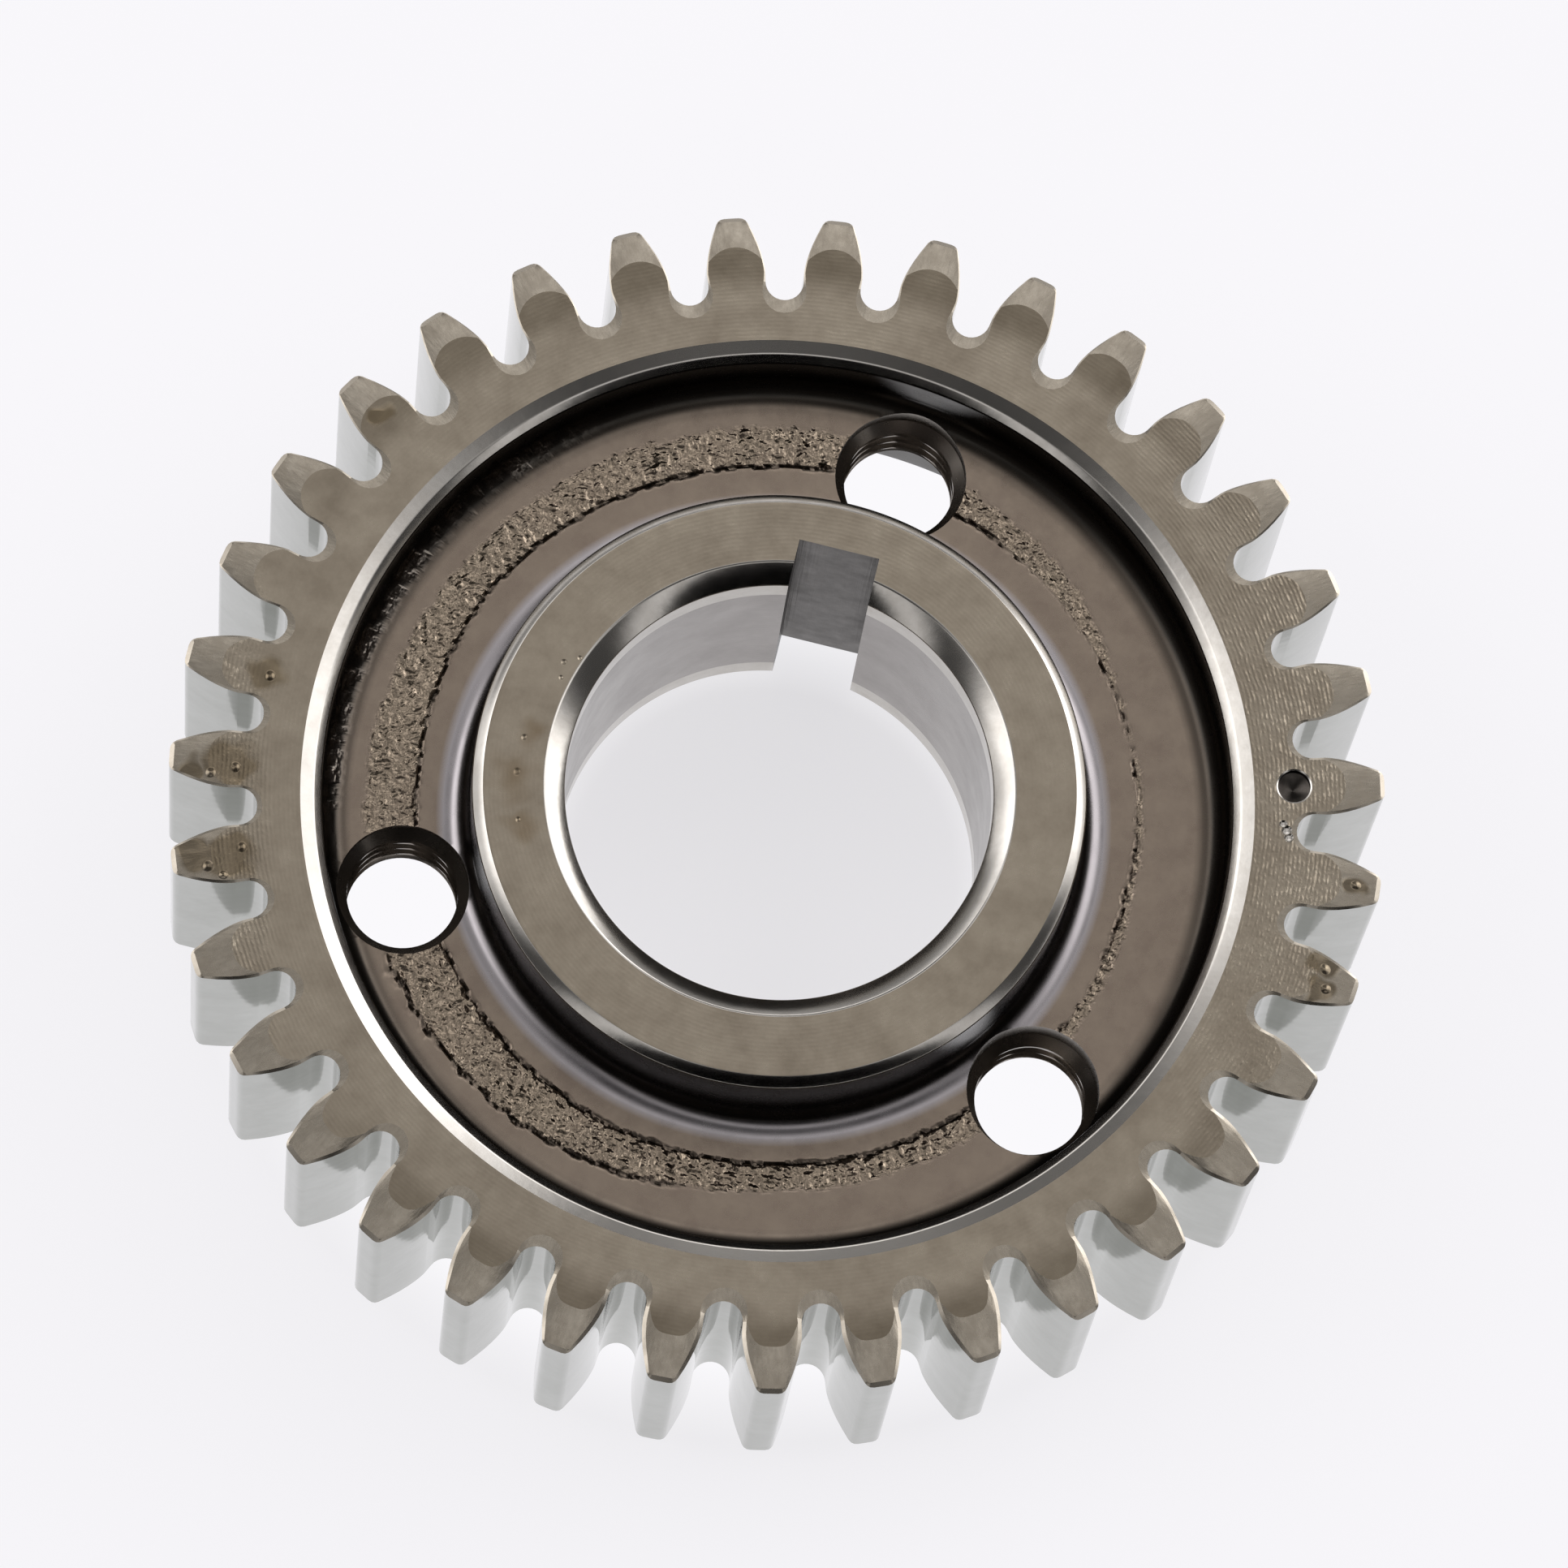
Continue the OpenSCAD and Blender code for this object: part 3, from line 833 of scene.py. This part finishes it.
tree, shader, mm, radius, tone, dull = steel("brushed", "#a9a193", "#988f81", 1.2, 0.27)
axis = node(tree, "ShaderNodeSeparateXYZ", links={0: mm})
angle = node(tree, "ShaderNodeMath", {"operation": "ARCTAN2"}, {0: axis.outputs["Y"], 1: axis.outputs["X"]})
across = node(tree, "ShaderNodeMath", {"operation": "MULTIPLY", 1: FACET_R / SCRATCH_MM}, {0: angle})
streak = node(tree, "ShaderNodeCombineXYZ", links={"X": across, "Y": radius})
streak = node(tree, "ShaderNodeTexNoise", {"Scale": 1.0, "Detail": 4.0, "Roughness": 0.6},
              {"Vector": streak})
shade = node(tree, "ShaderNodeMapRange", {"From Min": 0.3, "From Max": 0.7, "To Max": 0.4},
             {"Value": streak})
tone = node(tree, "ShaderNodeMix", {"data_type": "RGBA", "B": linear("#7f776b")},
            {"Factor": shade, "A": tone})
oil = oil_film(tree, shader, mm, tone, dull)[0]
height = node(tree, "ShaderNodeMath", {"operation": "MULTIPLY_ADD", 1: SCRATCH_H}, {0: streak, 2: oil})
bumped = node(tree, "ShaderNodeBump", {"Distance": MM}, {"Height": height})
tree.links.new(bumped.outputs[0], shader.inputs["Normal"])
print(f"brushed ends: scratches {SCRATCH_MM} mm wide")

# %% [markdown]
# ## Burnished edges, hobbed flanks and chamfers
#
# Broken edges are burnished by the brush. The hob leaves the flanks bright, with faint scallops along the
# axis from its feed, so they mirror the sheet. The chamfers are turned in one pass and are the brightest
# steel on the gear, with small handling nicks that break up their highlights.

# %% Burnished edges, hobbed flanks and chamfers
HOB_FEED_MM, SCALLOP_H, NICK_MM, NICK_H = 1.2, 0.001, 0.7, 0.004

steel("burnished", "#b0a89b", "#a29a8d", 1.0, 0.26)
tree, shader, mm, *_ = steel("hobbed", "#abada8", "#9ea09a", 3.0, 0.08)
axis = node(tree, "ShaderNodeSeparateXYZ", links={0: mm})
feed = node(tree, "ShaderNodeMath", {"operation": "PINGPONG", 1: 0.5 * HOB_FEED_MM}, {0: axis.outputs["Z"]})
height = node(tree, "ShaderNodeMath", {"operation": "MULTIPLY", 1: SCALLOP_H}, {0: feed})
bumped = node(tree, "ShaderNodeBump", {"Distance": MM}, {"Height": height})
tree.links.new(bumped.outputs[0], shader.inputs["Normal"])
tree, shader, mm, *_ = steel("chamfered", "#c9c5be", "#bcb7af", 1.5, 0.17)
nicks = node(tree, "ShaderNodeTexNoise", {"Scale": 1 / NICK_MM, "Detail": 4.0}, {"Vector": mm})
height = node(tree, "ShaderNodeMath", {"operation": "MULTIPLY", 1: NICK_H}, {0: nicks})
bumped = node(tree, "ShaderNodeBump", {"Distance": MM}, {"Height": height})
tree.links.new(bumped.outputs[0], shader.inputs["Normal"])

# %% [markdown]
# ## Skimmed web
#
# The web is turned where it is flat. The walls of the recess and the foot of the hub are painted nearly
# black as painted shade, and the outer part of the hub's fillet gets a pale band of painted highlight. The
# ring of forging skin is pitted. So the colour follows the radius, and pits and dark tears follow the stored
# shares; the near-black of the tears is painted shade in their step. Each tone of
# WEB_PAINTED_LIGHT_AND_SHADE fades in between its two radii.

# %% Skimmed web
# Painted light and shade by radius: a pale band of painted highlight on the hub's fillet, and near-black
# painted shade at the foot of the hub and on the recess wall.
WEB_PAINTED_LIGHT_AND_SHADE = [(20.7, 20.2, "#a39e9f"), (19.6, 19.1, "#4a4644"), (25.8, 26.9, "#373430")]
# The torn edge's near-black tone is painted shade in its step; the step itself is real relief.
SKIN_TONES = [("scaled", "#6b655e"), ("forged", "#8e8171"), ("tear_and_shade", "#1d1a17")]
PIT_MM, FINE_PIT_H, SKIN_ROUGH = 0.4, 0.12, 0.16

tree, shader, mm, radius, tone, dull = steel("skimmed", "#8e8173", "#807367", 1.8, 0.26)
for start, end, code in WEB_PAINTED_LIGHT_AND_SHADE:
    wall = node(tree, "ShaderNodeMapRange", {"From Min": start, "From Max": end}, {"Value": radius})
    tone = node(tree, "ShaderNodeMix", {"data_type": "RGBA", "B": linear(code)}, {"Factor": wall, "A": tone})
shares = {}
for name, code in SKIN_TONES:
    shares[name] = node(tree, "ShaderNodeAttribute", {"attribute_name": name}).outputs["Fac"]
    tone = node(tree, "ShaderNodeMix", {"data_type": "RGBA", "B": linear(code)},
                {"Factor": shares[name], "A": tone})
tree.links.new(tone.outputs[2], shader.inputs["Base Color"])
rough_skin = node(tree, "ShaderNodeMath", {"operation": "MAXIMUM"},
                  {0: shares["forged"], 1: shares["scaled"]})
dull = node(tree, "ShaderNodeMix", {"B": SKIN_ROUGH}, {"Factor": rough_skin, "A": dull})
tree.links.new(dull.outputs[0], shader.inputs["Roughness"])
pits = node(tree, "ShaderNodeTexNoise", {"Scale": 1 / PIT_MM, "Detail": 1.0}, {"Vector": mm})
height = node(tree, "ShaderNodeMath", {"operation": "MULTIPLY"}, {0: pits, 1: rough_skin})
height = node(tree, "ShaderNodeMath", {"operation": "MULTIPLY", 1: FINE_PIT_H}, {0: height})
bumped = node(tree, "ShaderNodeBump", {"Distance": MM}, {"Height": height})
tree.links.new(bumped.outputs[0], shader.inputs["Normal"])

# %% [markdown]
# ## Bore, keyway, holes and timing dot
#
# The bore is fine-bored, with rings along the axis. The keyway is broached, which leaves scratches along
# the axis and a duller grey. The tapped holes are dark with cutting oil. The drilled dot is painted nearly
# black, as painted shade in the small hole. Neither needs a pattern of its own at this size.

# %% Bore, keyway, holes and timing dot
BORE_RING_MM, BORE_RING_H, BROACH_H = 0.3, 0.01, 0.03

tree, shader, mm, *_ = steel("bored", "#a09b97", "#928d89", 4.0, 0.24)
axis = node(tree, "ShaderNodeSeparateXYZ", links={0: mm})
rings = node(tree, "ShaderNodeMath", {"operation": "PINGPONG", 1: 0.5 * BORE_RING_MM},
             {0: axis.outputs["Z"]})
height = node(tree, "ShaderNodeMath", {"operation": "MULTIPLY", 1: BORE_RING_H}, {0: rings})
bumped = node(tree, "ShaderNodeBump", {"Distance": MM}, {"Height": height})
tree.links.new(bumped.outputs[0], shader.inputs["Normal"])
tree, shader, mm, *_ = steel("broached", "#57534f", "#494541", 1.5, 0.35)
drawn = node(tree, "ShaderNodeVectorMath", {"operation": "MULTIPLY", 1: (5.0, 5.0, 0.08)}, {0: mm})
drawn = node(tree, "ShaderNodeTexNoise", {"Scale": 1.0, "Detail": 3.0}, {"Vector": drawn})
height = node(tree, "ShaderNodeMath", {"operation": "MULTIPLY", 1: BROACH_H}, {0: drawn})
bumped = node(tree, "ShaderNodeBump", {"Distance": MM}, {"Height": height})
tree.links.new(bumped.outputs[0], shader.inputs["Normal"])
steel("tapped", "#8f8880", "#7b746c", 1.0, 0.25)
# The drilled dot's near-black tone is painted shade in the small hole.
steel("drilled", "#4c4844", "#3b3733", 0.6, 0.3)

# %% [markdown]
# ## Sheet
#
# The gear lies on a white sheet. A lamp strong enough to make it white would burn out the steel, so the
# sheet glows instead, to the camera and in reflections. It keeps part of its shade inside the bore and
# round the teeth: each row of GLOW is two distances from the axis in mm, with the share of glow at each.

# %% Sheet
SHEET_HALF = 900
GLOW = [(12, 18, 0.7, 0.97), (31, 36, 1.0, 0.84)]

scene = bpy.context.scene
scene.view_settings.view_transform = "Standard"
corners = [(SHEET_HALF * x, SHEET_HALF * y, 0) for x, y in ((-1, -1), (1, -1), (1, 1), (-1, 1))]
floor = mesh_object("floor", corners, [[0, 1, 2, 3]], [0])
sheet = bpy.data.materials.new("white_sheet")
sheet.use_nodes = True
floor.data.materials.append(sheet)
tree = sheet.node_tree
tree.nodes.clear()
rays = node(tree, "ShaderNodeLightPath")
share = node(tree, "ShaderNodeMath", {"operation": "ADD"},
             {0: rays.outputs["Is Camera Ray"], 1: rays.outputs["Is Glossy Ray"]})
share = node(tree, "ShaderNodeMath", {"operation": "ADD", "use_clamp": True},
             {0: share, 1: rays.outputs["Is Transmission Ray"]})
place = node(tree, "ShaderNodeTexCoord")
away = node(tree, "ShaderNodeVectorMath", {"operation": "LENGTH"}, {0: place.outputs["Object"]})
for near, far, near_share, far_share in GLOW:
    step = node(tree, "ShaderNodeMapRange", {"From Min": near * MM, "From Max": far * MM,
                                             "To Min": near_share, "To Max": far_share}, {"Value": away})
    share = node(tree, "ShaderNodeMath", {"operation": "MULTIPLY"}, {0: share, 1: step})
cloth = node(tree, "ShaderNodeBsdfDiffuse", {"Color": linear("#f6f4f8")})
glow = node(tree, "ShaderNodeEmission", {"Color": linear("#fdfcff")})
mixed = node(tree, "ShaderNodeMixShader", links={0: share, 1: cloth, 2: glow})
node(tree, "ShaderNodeOutputMaterial", links={"Surface": mixed})
print(f"sheet: {2 * SHEET_HALF} mm wide")

# %% [markdown]
# ## Light tent
#
# Polished steel shows what stands round it, so the light is a tent: bright cloth left and right, dimmer
# above, and dark where it is open for the camera. Lamps would give hard spots. Each layer of the tent is
# a product of soft steps (axis, low, high, start, end) over the direction, and the layers are added. The
# tent is turned with the photo: X is to the right, Y away from the camera and Z up.

# %% Light tent
TENT = {
    "ceiling": [("Y", -0.75, -0.55, 0.0, 1.0), ("Y", -0.26, 0.04, 0.08, 0.7), ("Y", 0.1, 0.2, 1.35, 0.88),
                ("Y", 0.22, 0.32, 1.0, 1.12), ("Y", 0.32, 0.43, 1.0, 2.1), ("Y", 0.5, 0.66, 1.0, 0.2),
                ("X", 0.02, 0.12, 1.0, 1.25), ("X", 0.15, 0.28, 1.0, 0.5), ("X", -0.2, -0.06, 0.6, 1.0)],
    "behind the camera": [("Y", -0.64, -0.48, 0.75, 0.0), ("Y", -0.78, -0.7, 0.0, 1.0)],
    "right of the camera": [("X", 0.35, 0.55, 0.0, 0.45), ("Y", -0.75, -0.3, 0.0, 1.0),
                            ("Y", -0.1, 0.12, 1.0, 0.0), ("Z", 0.52, 0.64, 0.0, 1.0)],
    "left of the camera": [("X", -0.62, -0.5, 0.45, 0.0), ("Y", -0.7, -0.35, 0.0, 1.0),
                           ("Y", -0.25, -0.1, 1.0, 0.0), ("Z", 0.52, 0.64, 0.0, 1.0)],
    "far wall": [("Z", 0.1, 0.28, 0.1, 1.3), ("Z", 0.4, 0.55, 1.0, 0.0), ("Y", 0.3, 0.7, 0.0, 1.0)],
    "far right": [("X", 0.3, 0.42, 0.0, 1.3), ("Y", 0.52, 0.64, 0.0, 1.0), ("Y", 0.76, 0.9, 1.0, 0.0),
                  ("Z", 0.2, 0.35, 0.0, 1.0)],
    "right cloth": [("X", 0.4, 0.56, 0.0, 1.0), ("Z", 0.25, 0.55, 2.2, 1.6), ("Y", -0.16, 0.15, 0.0, 1.0),
                    ("Y", 0.62, 0.8, 1.0, 0.0)],
    "left cloth": [("X", -0.62, -0.46, 1.0, 0.0), ("Z", 0.14, 0.35, 0.55, 1.8), ("Y", -0.38, 0.12, 0.0, 1.0),
                   ("Y", 0.4, 0.62, 1.0, 0.0)],
}

tent = bpy.data.worlds.new("light_tent")
scene.world = tent
tent.use_nodes = True
tree = tent.node_tree
tree.nodes.clear()
way = node(tree, "ShaderNodeTexCoord")
way = node(tree, "ShaderNodeVectorRotate", {"rotation_type": "Z_AXIS", "Angle": -math.radians(PHOTO_TURN)},
           {"Vector": way.outputs["Generated"]})
way = node(tree, "ShaderNodeSeparateXYZ", links={0: way})
light = None
for name, steps in TENT.items():
    level = None
    for axis, low, high, start, end in steps:
        step = node(tree, "ShaderNodeMapRange", {"interpolation_type": "SMOOTHSTEP", "From Min": low,
                                                 "From Max": high, "To Min": start, "To Max": end},
                    {"Value": way.outputs[axis]})
        if level:
            step = node(tree, "ShaderNodeMath", {"operation": "MULTIPLY"}, {0: level, 1: step})
        level = step
    if light:
        level = node(tree, "ShaderNodeMath", {"operation": "ADD"}, {0: light, 1: level})
    light = level
    print(f"tent: {name}, {len(steps)} soft steps")
rays = node(tree, "ShaderNodeLightPath")
level = node(tree, "ShaderNodeMix", {"B": 1.0}, {"Factor": rays.outputs["Is Camera Ray"], "A": light})
sky = node(tree, "ShaderNodeBackground", {"Color": linear("#fbfafc")}, {"Strength": level})
node(tree, "ShaderNodeOutputWorld", links={"Surface": sky})

# %% [markdown]
# ## Camera
#
# The camera is the photo's own, worked out from the gear's turned edges: a long lens, 74 degrees above
# the floor, with the camera turned a little about its line of sight. A tracking constraint has no such
# turn, so the three axes of the camera are worked out here.

# %% Camera
LENS_MM, SENSOR_MM, CAMERA_ROLL = 256.06, 36.0, math.radians(11.243)
EYE, AIM = Vector((8.569, -181.519, 670.918)) * MM, Vector((0.040, 3.179, 10.5)) * MM

lens = bpy.data.cameras.new("photo_camera")
lens.sensor_width, lens.lens, lens.clip_end = SENSOR_MM, LENS_MM, 10.0
camera = bpy.data.objects.new("photo_camera", lens)
scene.collection.objects.link(camera)
scene.camera = camera
forward = (AIM - EYE).normalized()
level_x = forward.cross(Vector((0, 0, 1))).normalized()
level_y = level_x.cross(forward)
right = level_x * math.cos(CAMERA_ROLL) + level_y * math.sin(CAMERA_ROLL)
up = level_y * math.cos(CAMERA_ROLL) - level_x * math.sin(CAMERA_ROLL)
camera.matrix_world = Matrix((right, up, -forward)).transposed().to_4x4()
camera.location = EYE
elevation = math.degrees(math.asin(-forward.z))
print(f"camera {1000 * (AIM - EYE).length:.0f} mm away, {elevation:.1f} degrees up")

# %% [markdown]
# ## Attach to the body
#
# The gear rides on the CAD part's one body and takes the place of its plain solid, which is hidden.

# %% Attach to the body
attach(gear, "root")
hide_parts("balance_gear")
